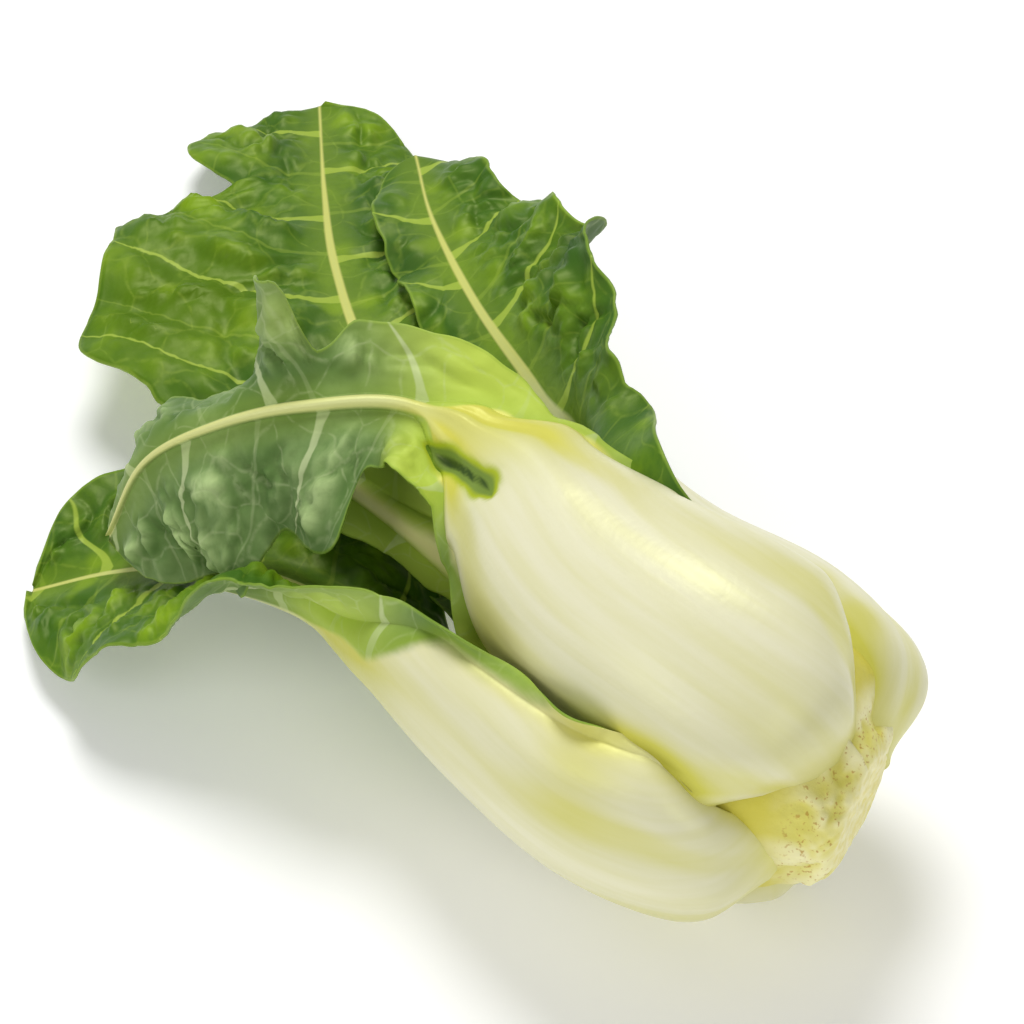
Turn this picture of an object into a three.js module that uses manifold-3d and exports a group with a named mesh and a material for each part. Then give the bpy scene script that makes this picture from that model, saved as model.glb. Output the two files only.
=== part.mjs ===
// A head of baby bok choy, lying on its side: a cut base, and leaves in three whorls around it.
// Millimetres, +Z up. The cut base points to +X and the leaf tips to -X. The head lies on the
// belly of its lowest stalk and on the margins of its lower leaves.

import * as THREE from 'three';
import { mergeVertices } from 'three/addons/utils/BufferGeometryUtils.js';
import Module from 'manifold-3d';

const wasm = await Module();
wasm.setup();

// The head's own axis, which runs along X.
const AXIS_Y = -7;
const AXIS_Z = 24.5;

// Moves the head so that the middle of its bounding box is over the origin.
const SHIFT_X = 7.86;
const SHIFT_Y = 1;

// Cut base: the stub of the stem, with its knobbly rim and a cone inside that carries the leaves.
const STUB_END_X = 67.5;
const STUB_RADIUS = 9;
const STUB_SIDES = 20;
const INNER_ROOT_X = 54;

// Leaf tissue.
const BLADE_THICKNESS = 0.8;
const STALK_GAP = 0.3;
const STALK_LIP = 0.6;
const LEAF_CLEARANCE = 0.15;
const LEAST_OVERLAP = 0.001;
const LEAST_WING = 2;
const TIP_CUT = 0.98;
const FOLD_REACH = 3;
const MIDRIB_SHARE = 0.9;

// Steps along and across a leaf.
const OUTER_GRID = { rows: 27, stalkColumns: 3, wingColumns: 4 };
const INNER_GRID = { rows: 15, stalkColumns: 2, wingColumns: 3 };

const STALK_COLOUR = 0xeff0cf;
const BLADE_COLOUR = 0x3f7a2a;
const INNER_BLADE_COLOUR = 0x6f9f2f;
const BASE_COLOUR = 0xe9e3a8;

// A leaf is described by its midline, from the root to the tip, and by the way that its upper
// side faces at each point of the midline. Every other value is a list of stops, each a place in
// millimetres along the leaf and the value there. Right and left are as seen on the upper side.
const OUTER_LEAVES = [
  {
    // The uppermost leaf, seen from its back. Its blade flops over to the front.
    name: 'leaf_top',
    path: [[62, -9, 31], [57, -13, 40], [44, -15.5, 43.5], [26, -15, 43], [8, -10, 42.5], [-7, -10, 42.5],
      [-18, -18, 40.5], [-27, -24.5, 35], [-34, -30, 27], [-37, -34, 14]],
    face: [[-1, 0.3, -0.5], [-0.5, 0.55, -1], [0, 0.6, -1], [0, 0.55, -1], [-0.1, 0.4, -1], [-0.2, 0.4, -1],
      [-0.3, 0.6, -1], [-0.1, 0.8, -0.8], [0.1, 1, -0.5], [0.3, 1, -0.1]],
    stalkHalf: [[0, 6.5], [19, 19.5], [46, 17], [66, 7], [82, 2], [128, 0.8]],
    stalkThick: [[0, 3.5], [14, 6], [50, 4.5], [80, 2], [128, 0.8]],
    wrap: [[0, 10], [16, 21], [50, 18], [80, 30]],
    bladeStart: 44,
    tipRound: 12,
    right: { width: [[50, 14], [64, 9], [82, 9], [88, 18], [98, 15], [109, 20], [122, 16]],
      fold: [[50, 0], [66, -40], [84, -20], [92, 0]], curl: [[60, 0], [92, 20]], wave: [1.2, 19, 0.5] },
    left: { width: [[50, 14], [60, 10], [84, 10], [88, 6], [93, 18], [99, 10], [127, 14]],
      fold: [[52, -2], [84, 0], [92, -20], [101, 70]], curl: [[60, 0], [92, -10]], wave: [0.8, 21, 1.5] },
  },
  {
    // The leaf at the front, with its stalk low on the near side of the bulb.
    name: 'leaf_front',
    path: [[61, -15, 20], [54, -25, 20], [41, -30, 20], [24, -30, 20.5], [6, -27, 19.5], [-10, -25, 17],
      [-24, -28, 13], [-36, -34, 7], [-45, -40, 1]],
    face: [[-1, 0.6, 0.3], [-0.4, 1, 0.4], [0, 1, 0.4], [0, 1, 0.4], [-0.1, 1, 0.5], [-0.2, 0.7, 0.8],
      [-0.2, 0.3, 1], [-0.1, 0.2, 1], [-0.1, 0.1, 1]],
    stalkHalf: [[0, 6.5], [19, 18.5], [48, 15], [75, 4], [122, 0.8]],
    stalkThick: [[0, 3.5], [14, 6], [50, 4.5], [80, 2.2], [122, 0.8]],
    wrap: [[0, 10], [16, 21], [50, 18], [80, 30]],
    bladeStart: 46,
    tipRound: 18,
    right: { width: [[44, 13], [60, 16], [80, 18], [100, 20]], fold: [[50, 5], [80, 15], [120, 10]],
      curl: [[60, 0], [90, 20]], wave: [1.6, 19, 0.5] },
    left: { width: [[50, 12], [80, 17], [100, 19]], fold: [[50, 0], [80, -5]],
      curl: [[60, 0], [90, -15]], wave: [1.6, 20, 1.5] },
  },
  {
    // The leaf on the far side, whose blade opens upwards at the back.
    name: 'leaf_back',
    path: [[61, -1, 26], [55, 6, 29.5], [43, 8, 30.5], [26, 5.5, 30], [8, 7, 28.5], [-10, 14, 25],
      [-27, 21.5, 20], [-44, 31, 15], [-56, 40, 11]],
    face: [[-1, -0.6, -0.4], [-0.4, -1, -0.7], [0, -1, -0.7], [0, -1, -0.5], [0, -1, 0.1], [-0.1, -0.6, 0.9],
      [-0.1, -0.3, 1], [0, -0.2, 1], [0, -0.1, 1]],
    stalkHalf: [[0, 6.5], [18, 17], [45, 12], [68, 4], [125, 0.8]],
    stalkThick: [[0, 3.5], [14, 5.5], [50, 4.5], [80, 2.2], [125, 0.8]],
    wrap: [[0, 10], [16, 20], [50, 18], [80, 30]],
    bladeStart: 46,
    tipRound: 14,
    right: { width: [[50, 12], [70, 14], [88, 20], [104, 16], [120, 10]], fold: [[50, 0], [90, 10], [120, 5]],
      curl: [[60, 0], [80, 15], [105, 0]], wave: [1.4, 20, 0.5] },
    left: { width: [[40, 14], [62, 14], [85, 9], [105, 7]], fold: [[30, -10], [60, -5], [90, 0]],
      curl: [[60, 0], [90, 5]], wave: [1, 17, 1.5] },
  },
  {
    // The lowest leaf: the head lies on its stalk, and its blade spreads out at the back.
    name: 'leaf_bottom',
    path: [[60, -6, 17], [54, -4, 8.5], [42, -3, 5.5], [24, -2, 6.5], [4, 0, 9], [-16, 4, 12],
      [-34, 9, 14], [-50, 19, 11], [-63, 30, 6.5], [-78, 44, 0.8]],
    face: [[-1, -0.2, 0.4], [-0.4, -0.4, 1], [0, -0.4, 1], [0, -0.35, 1], [0, -0.2, 1], [0, -0.15, 1],
      [0, -0.1, 1], [0.1, -0.1, 1], [0.1, -0.1, 1], [0.1, -0.1, 1]],
    stalkHalf: [[0, 6.5], [18, 16], [50, 12], [80, 4], [100, 1.8], [152, 0.8]],
    stalkThick: [[0, 3.5], [14, 5.5], [50, 4], [80, 2.4], [152, 0.8]],
    wrap: [[0, 10], [16, 22], [50, 20], [80, 30]],
    bladeStart: 60,
    tipRound: 10,
    right: { width: [[60, 12], [90, 14], [120, 16], [144, 14], [156, 11]], fold: [[50, 0], [120, 0]],
      curl: [[60, 0], [90, -15]], wave: [0.8, 22, 0.5] },
    left: { width: [[70, 13], [94, 14], [104, 28], [114, 34], [131, 27], [137, 21], [141, 12], [147, 17], [156, 14]],
      fold: [[50, 0], [90, 8]], curl: [[90, 0], [110, -20]], wave: [0.8, 21, 1.5] },
  },
];

// Which leaves lie outside each outer leaf where the two meet.
const OUTER_EDGES = {
  leaf_front: ['leaf_bottom'],
  leaf_top: ['leaf_front'],
  leaf_back: ['leaf_top'],
  leaf_bottom: ['leaf_back'],
};

// The younger leaves stand inside the outer whorl, in the gaps between its stalks. Each one is
// placed by its angle around the head's axis, measured from straight up towards +Y.
const INNER_LEAVES = [
  { name: 'leaf_inner_front', angle: -62, radius: 8.6, length: 84, spread: 4 },
  { name: 'leaf_inner_top', angle: 24, radius: 8.4, length: 78, spread: 3 },
  { name: 'leaf_inner_back', angle: 112, radius: 7.6, length: 80, spread: 1 },
  { name: 'leaf_inner_bottom', angle: -155, radius: 7.6, length: 86, spread: 1 },
];

const HEART_LEAVES = [
  { name: 'heart_leaf_upper', angle: -20, radius: 3.6, length: 60, spread: 0.5 },
  { name: 'heart_leaf_lower', angle: 160, radius: 3.6, length: 64, spread: 0.5 },
];

function ease(stops, s) {
  let value = stops[0][1];
  for (let i = 1; i < stops.length; i += 1) {
    const [from, before] = stops[i - 1];
    const [to, after] = stops[i];
    value += (after - before) * THREE.MathUtils.smoothstep(s, from, to);
  }
  return value;
}

function smoothCurve(points) {
  const vectors = points.map(([x, y, z]) => new THREE.Vector3(x, y, z));
  return new THREE.CatmullRomCurve3(vectors, false, 'catmullrom', 0.5);
}

// The description of a young leaf, in the same terms as an outer one.
function innerLeaf({ name, angle, radius, length, spread }) {
  const turn = THREE.MathUtils.degToRad(angle);
  const place = (x, out) => [x, AXIS_Y + out * Math.sin(turn), AXIS_Z + out * Math.cos(turn)];
  const inward = (along) => [along, -Math.sin(turn), -Math.cos(turn)];
  const tip = INNER_ROOT_X - length;
  return {
    name,
    path: [place(INNER_ROOT_X, radius * 0.5 + 1), place(INNER_ROOT_X - 6, radius * 0.9), place(40, radius),
      place(20, radius), place(tip + length * 0.3, radius + spread * 0.3), place(tip, radius + spread)],
    face: [inward(-0.5), inward(-0.2), inward(0), inward(0), inward(0), inward(0)],
    stalkHalf: [[0, radius * 0.35], [12, radius * 0.66], [34, radius * 0.6], [length * 0.75, 1.6], [length, 0.8]],
    stalkThick: [[0, 1.2], [12, radius * 0.3], [length * 0.6, radius * 0.2], [length, 0.5]],
    wrap: [[0, radius * 0.6], [14, radius + 0.5]],
    bladeStart: length * 0.4,
    tipRound: 14,
    right: { width: [[34, radius * 0.7], [60, radius * 0.85]], fold: [[40, 0], [80, 10]],
      curl: [[40, 10], [80, 5]], wave: [0.4, 19, 0.3] },
    left: { width: [[34, radius * 0.7], [60, radius * 0.85]], fold: [[40, 0], [80, 10]],
      curl: [[40, 10], [80, 5]], wave: [0.4, 17, 1.1] },
  };
}

class Leaf {
  constructor(spec, grid) {
    Object.assign(this, spec);
    this.grid = grid;
    this.line = smoothCurve(spec.path);
    this.facing = smoothCurve(spec.face);
    this.length = this.line.getLength();
  }

  // The blade's half width and the stalk's shrink together in a round tip.
  tip(s) {
    const x = THREE.MathUtils.clamp((s - (this.length - this.tipRound)) / this.tipRound, 0, TIP_CUT);
    return Math.sqrt(1 - x * x);
  }

  // Place, direction to the right, and upward direction of the midline, s along the leaf.
  frame(s) {
    const at = THREE.MathUtils.clamp(s / this.length, 0, 1);
    const point = this.line.getPointAt(at);
    const along = this.line.getTangentAt(at);
    const up = this.facing.getPoint(this.line.getUtoTmapping(at));
    up.addScaledVector(along, -up.dot(along)).normalize();
    return { point, right: new THREE.Vector3().crossVectors(along, up), up };
  }

  // Distances from the midline of the lines that run along one side of the leaf.
  distances(s, side, columns, wider) {
    const { stalkColumns, wingColumns } = this.grid;
    const stalk = ease(this.stalkHalf, s) * this.tip(s);
    const wing = Math.max(ease(side.width, s) * this.tip(s), stalk + LEAST_WING * this.tip(s));
    const list = [];
    for (let i = 0; i <= stalkColumns; i += 1) list.push((stalk * i) / stalkColumns);
    for (let i = 1; i <= wingColumns; i += 1) list.push(stalk + ((wing - stalk) * i) / wingColumns);
    list.length = columns + 1;
    list[columns] += wider;
    return { list, stalk, wing };
  }

  // One side of a cross-section: its points and its upward directions, from the midline out.
  halfSection(s, side, sign, columns, wider) {
    const { list, stalk, wing } = this.distances(s, side, columns, wider);
    const { point, right, up } = this.frame(s);
    const fold = THREE.MathUtils.degToRad(ease(side.fold, s));
    const curl = THREE.MathUtils.degToRad(ease(side.curl, s));
    const wrap = ease(this.wrap, s);
    const [height, length, phase] = side.wave;
    const out = (d) => THREE.MathUtils.clamp((d - stalk) / (wing - stalk), 0, 1);
    const slope = (d) => Math.min(d, stalk) / wrap
      + fold * THREE.MathUtils.clamp((d - stalk) / FOLD_REACH, 0, 1) + curl * out(d) ** 1.3;
    const rows = [];
    let across = 0;
    let rise = 0;
    for (let i = 0; i < list.length; i += 1) {
      if (i > 0) {
        const step = list[i] - list[i - 1];
        const middle = (slope(list[i]) + slope(list[i - 1])) / 2;
        across += step * Math.cos(middle);
        rise += step * Math.sin(middle);
      }
      const turn = slope(list[i]);
      const wave = height * Math.sin((2 * Math.PI * s) / length + phase) * out(list[i]) ** 2;
      const normal = up.clone().multiplyScalar(Math.cos(turn)).addScaledVector(right, -sign * Math.sin(turn));
      const place = point.clone().addScaledVector(right, sign * across).addScaledVector(up, rise);
      place.addScaledVector(normal, wave);
      rows.push({ place, normal, distance: list[i], stalk });
    }
    return rows;
  }

  // A whole cross-section, from the left edge to the right edge, with so many columns a side.
  section(s, columns, wider) {
    const left = this.halfSection(s, this.left, -1, columns, wider).slice(1).reverse();
    return [...left, ...this.halfSection(s, this.right, 1, columns, wider)];
  }

  // Places along the leaf of the rows from one place to another, with the end rows moved out by longer.
  rowPlaces(from, to, longer) {
    const end = this.length - this.tipRound * (1 - TIP_CUT);
    const all = Array.from({ length: this.grid.rows + 1 }, (_, i) => (end * i) / this.grid.rows);
    const places = all.filter((s) => s >= from && s <= to);
    places[0] -= longer;
    places[places.length - 1] += longer;
    return places;
  }
}

// A closed solid between two grids of points. Both grids are split along the same diagonals.
function slab(upper, lower) {
  const rows = upper.length;
  const columns = upper[0].length;
  const vertices = [...upper.flat(), ...lower.flat()].flatMap((p) => [p.x, p.y, p.z]);
  const top = (i, j) => i * columns + j;
  const under = (i, j) => rows * columns + i * columns + j;
  const faces = [];
  for (let i = 0; i + 1 < rows; i += 1) {
    for (let j = 0; j + 1 < columns; j += 1) {
      faces.push(top(i, j), top(i, j + 1), top(i + 1, j + 1), top(i, j), top(i + 1, j + 1), top(i + 1, j));
      faces.push(under(i, j), under(i + 1, j + 1), under(i, j + 1));
      faces.push(under(i, j), under(i + 1, j), under(i + 1, j + 1));
    }
  }
  const strip = (a, b) => faces.push(top(...a), under(...a), under(...b), top(...a), under(...b), top(...b));
  for (let j = 0; j + 1 < columns; j += 1) {
    strip([0, j], [0, j + 1]);
    strip([rows - 1, j + 1], [rows - 1, j]);
  }
  for (let i = 0; i + 1 < rows; i += 1) {
    strip([i + 1, 0], [i, 0]);
    strip([i, columns - 1], [i + 1, columns - 1]);
  }
  return toSolid(vertices, faces);
}

function toSolid(vertices, faces) {
  const geometry = new THREE.BufferGeometry();
  geometry.setAttribute('position', new THREE.Float32BufferAttribute(vertices, 3));
  geometry.setIndex(faces);
  return solidFromGeometry(geometry);
}

function solidFromGeometry(geometry) {
  geometry.deleteAttribute('normal');
  geometry.deleteAttribute('uv');
  const merged = mergeVertices(geometry);
  return new wasm.Manifold(new wasm.Mesh({
    numProp: 3,
    vertProperties: new Float32Array(merged.attributes.position.array),
    triVerts: new Uint32Array(merged.index.array),
  }));
}

function offset({ place, normal }, distance) {
  return place.clone().addScaledVector(normal, distance);
}

// The blade is a thin sheet on the upper side of its stalk, and runs out to both margins.
function bladeSolid(leaf, grow = 0) {
  const columns = leaf.grid.stalkColumns + leaf.grid.wingColumns;
  const sections = leaf.rowPlaces(leaf.bladeStart, leaf.length, grow).map((s) => leaf.section(s, columns, grow));
  const upper = sections.map((row) => row.map((p) => offset(p, BLADE_THICKNESS + grow)));
  const lower = sections.map((row) => row.map((p) => offset(p, -grow)));
  return slab(upper, lower);
}

// The stalk is a fleshy crescent in section. It thins out along the blade as its midrib.
function stalkSolid(leaf, grow = 0) {
  const sections = leaf.rowPlaces(0, leaf.length * MIDRIB_SHARE, grow)
    .map((s) => ({ s, row: leaf.section(s, leaf.grid.stalkColumns, grow) }));
  const depth = (s, p) => {
    const side = Math.min(p.distance / p.stalk, 1);
    return STALK_LIP + ease(leaf.stalkThick, s) * (1 - side ** 2.2) ** 0.8;
  };
  const upper = sections.map(({ row }) => row.map((p) => offset(p, -STALK_GAP + grow)));
  const lower = sections.map(({ s, row }) => row.map((p) => offset(p, -STALK_GAP - depth(s, p) - grow)));
  return slab(upper, lower);
}

function largestPiece(solid) {
  const pieces = solid.decompose();
  return pieces.reduce((best, piece) => (piece.volume() > best.volume() ? piece : best));
}

// The stub of the stem: a cut face, a swollen knobbly rim and a cone that runs up into the head.
function baseSolid(grow = 0) {
  const profile = [[0, STUB_END_X], [6.5, STUB_END_X], [8.2, STUB_END_X - 1.2], [STUB_RADIUS, STUB_END_X - 4],
    [8.4, STUB_END_X - 7], [4.2, 57], [1.6, 51], [1, 47], [0, 46]];
  const points = profile.map(([r, x]) => new THREE.Vector2(r > 0 ? r + grow : 0, -x));
  const geometry = new THREE.LatheGeometry(points, STUB_SIDES);
  geometry.rotateZ(Math.PI / 2);
  geometry.translate(0, AXIS_Y, AXIS_Z);
  const position = geometry.attributes.position;
  for (let i = 0; i < position.count; i += 1) {
    const y = position.getY(i) - AXIS_Y;
    const z = position.getZ(i) - AXIS_Z;
    const radius = Math.hypot(y, z);
    const knob = 1 + 0.05 * Math.sin(5 * Math.atan2(y, z) + 0.7) * Math.min(radius / STUB_RADIUS, 1);
    position.setXYZ(i, position.getX(i), AXIS_Y + y * knob, AXIS_Z + z * knob);
  }
  return solidFromGeometry(geometry);
}

function surfaceCutter() {
  const box = new THREE.BoxGeometry(400, 400, 20);
  box.translate(0, 0, -10);
  return solidFromGeometry(box);
}

function toMesh(name, solid, colour, roughness) {
  const { numProp, vertProperties, triVerts } = solid.getMesh();
  const positions = new Float32Array((vertProperties.length / numProp) * 3);
  for (let i = 0; i < positions.length / 3; i += 1) {
    for (let k = 0; k < 3; k += 1) positions[i * 3 + k] = vertProperties[i * numProp + k];
  }
  const geometry = new THREE.BufferGeometry();
  geometry.setAttribute('position', new THREE.BufferAttribute(positions, 3));
  geometry.setIndex(Array.from(triVerts));
  geometry.computeVertexNormals();
  const mesh = new THREE.Mesh(geometry, new THREE.MeshStandardMaterial({ color: colour, roughness, metalness: 0 }));
  mesh.name = name;
  return mesh;
}

// Cuts a solid clear of others, and keeps its largest piece.
function clearOf(solid, others) {
  const met = others.filter((other) => solid.intersect(other).volume() > LEAST_OVERLAP);
  if (met.length === 0) return solid;
  return largestPiece(met.reduce((rest, other) => rest.subtract(other), solid));
}

const leaves = [
  ...OUTER_LEAVES.map((spec) => ({ leaf: new Leaf(spec, OUTER_GRID), colour: BLADE_COLOUR })),
  ...INNER_LEAVES.map((spec) => ({ leaf: new Leaf(innerLeaf(spec), INNER_GRID), colour: BLADE_COLOUR })),
  ...HEART_LEAVES.map((spec) => ({ leaf: new Leaf(innerLeaf(spec), INNER_GRID), colour: INNER_BLADE_COLOUR })),
];
const grown = Object.fromEntries(leaves.map(({ leaf }) => [
  leaf.name, [stalkSolid(leaf, LEAF_CLEARANCE), bladeSolid(leaf, LEAF_CLEARANCE)]]));
const widerBase = baseSolid(LEAF_CLEARANCE * 2);
const surface = surfaceCutter();

const head = new THREE.Group();
head.add(toMesh('base', baseSolid(), BASE_COLOUR, 0.6));
leaves.forEach(({ leaf, colour }, index) => {
  // Each outer leaf has one edge outside its neighbour, all the way round. A young leaf is inside them all.
  const outside = OUTER_EDGES[leaf.name] ?? leaves.slice(0, index).map((other) => other.leaf.name);
  const around = [widerBase, ...outside.flatMap((name) => grown[name])];
  const parts = [['stalk', stalkSolid(leaf), STALK_COLOUR, 0.35], ['blade', bladeSolid(leaf), colour, 0.45]];
  for (const [part, solid, tint, roughness] of parts) {
    const shape = clearOf(solid, around).subtract(surface);
    head.add(toMesh(`${leaf.name}_${part}`, shape, tint, roughness));
  }
});
head.position.set(SHIFT_X, SHIFT_Y, 0);

export default head;
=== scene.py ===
# %% [markdown]
# # A head of baby bok choy
#
# The object is a small head of bok choy that lies on its side. It has a cut base, four big outer
# leaves, four younger leaves inside them and two heart leaves. Each leaf is one grown piece: a
# fleshy white stalk that thins out into the midrib of a broad green blade.
#
# The frame holds every piece as a plain solid, and this script dresses those solids. It starts by
# loading the frame and keeping its box, so that the dressed head can be compared with it later.

import math

import bpy
import numpy as np
from mathutils import Matrix, Vector
from mathutils.kdtree import KDTree


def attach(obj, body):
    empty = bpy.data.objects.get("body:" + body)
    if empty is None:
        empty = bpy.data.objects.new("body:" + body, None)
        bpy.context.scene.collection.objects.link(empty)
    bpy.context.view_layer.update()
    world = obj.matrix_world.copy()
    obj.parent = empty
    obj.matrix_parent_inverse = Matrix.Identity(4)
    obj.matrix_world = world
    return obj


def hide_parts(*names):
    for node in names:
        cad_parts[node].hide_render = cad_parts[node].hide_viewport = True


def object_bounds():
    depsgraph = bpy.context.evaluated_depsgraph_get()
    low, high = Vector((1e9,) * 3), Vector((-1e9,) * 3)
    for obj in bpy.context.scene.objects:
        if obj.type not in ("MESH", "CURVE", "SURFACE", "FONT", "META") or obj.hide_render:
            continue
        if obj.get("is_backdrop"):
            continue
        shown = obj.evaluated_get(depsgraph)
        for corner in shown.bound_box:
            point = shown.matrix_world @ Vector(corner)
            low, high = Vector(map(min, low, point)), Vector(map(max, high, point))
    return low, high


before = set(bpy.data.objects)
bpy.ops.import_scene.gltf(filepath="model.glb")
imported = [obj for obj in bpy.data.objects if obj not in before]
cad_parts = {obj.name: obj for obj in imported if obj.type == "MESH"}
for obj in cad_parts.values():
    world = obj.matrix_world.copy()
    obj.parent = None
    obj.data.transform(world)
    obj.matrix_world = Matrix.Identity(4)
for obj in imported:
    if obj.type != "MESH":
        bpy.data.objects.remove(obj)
frame_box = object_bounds()
print("nodes in the frame:", len(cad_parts))

MM = 0.001

# %% [markdown]
# ## The leaves as numbers
#
# A leaf could be sculpted by hand, but then it could not be changed by a number. Here each leaf is
# described by its midline from the root to the tip, and by the way that its upper side faces at
# each point of the midline. Most other values are lists of stops: a place in millimetres along the
# leaf, and the value there. These are the same leaves as in the frame, so the finer meshes below
# lie where the plain solids lie. Right and left are as seen on the upper side of a leaf.
#
# `wrap` is the radius that the stalk bends around, `pale_half` the half width of its white part
# and `flute` the depth of the flutes along it. `rib_slant` says how much the side veins lean, and
# `pucker` how much the blade swells, upwards or, below zero, downwards.
#
# A side has the half width of the blade, the angle of its fold beside the midrib, the curl of its
# margin and the height, length and phase of its waves. It starts at `start`, and it reaches at
# least `least` beyond the stalk. A tint is a soft patch (place across, place along, radius,
# amount) of painted light where the amount is above zero and of painted shade where it is below;
# on a stalk, a tint above zero paints the yellow shade of a crevice. A slit is a fold in the stalk
# (place across, place along, half width, half length, lean).

# %% Describe the outer leaves
AXIS_Y, AXIS_Z = -7, 24.5
SHIFT = np.array([7.86, 1.0, 0.0])  # moves the head over the middle of the floor

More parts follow.
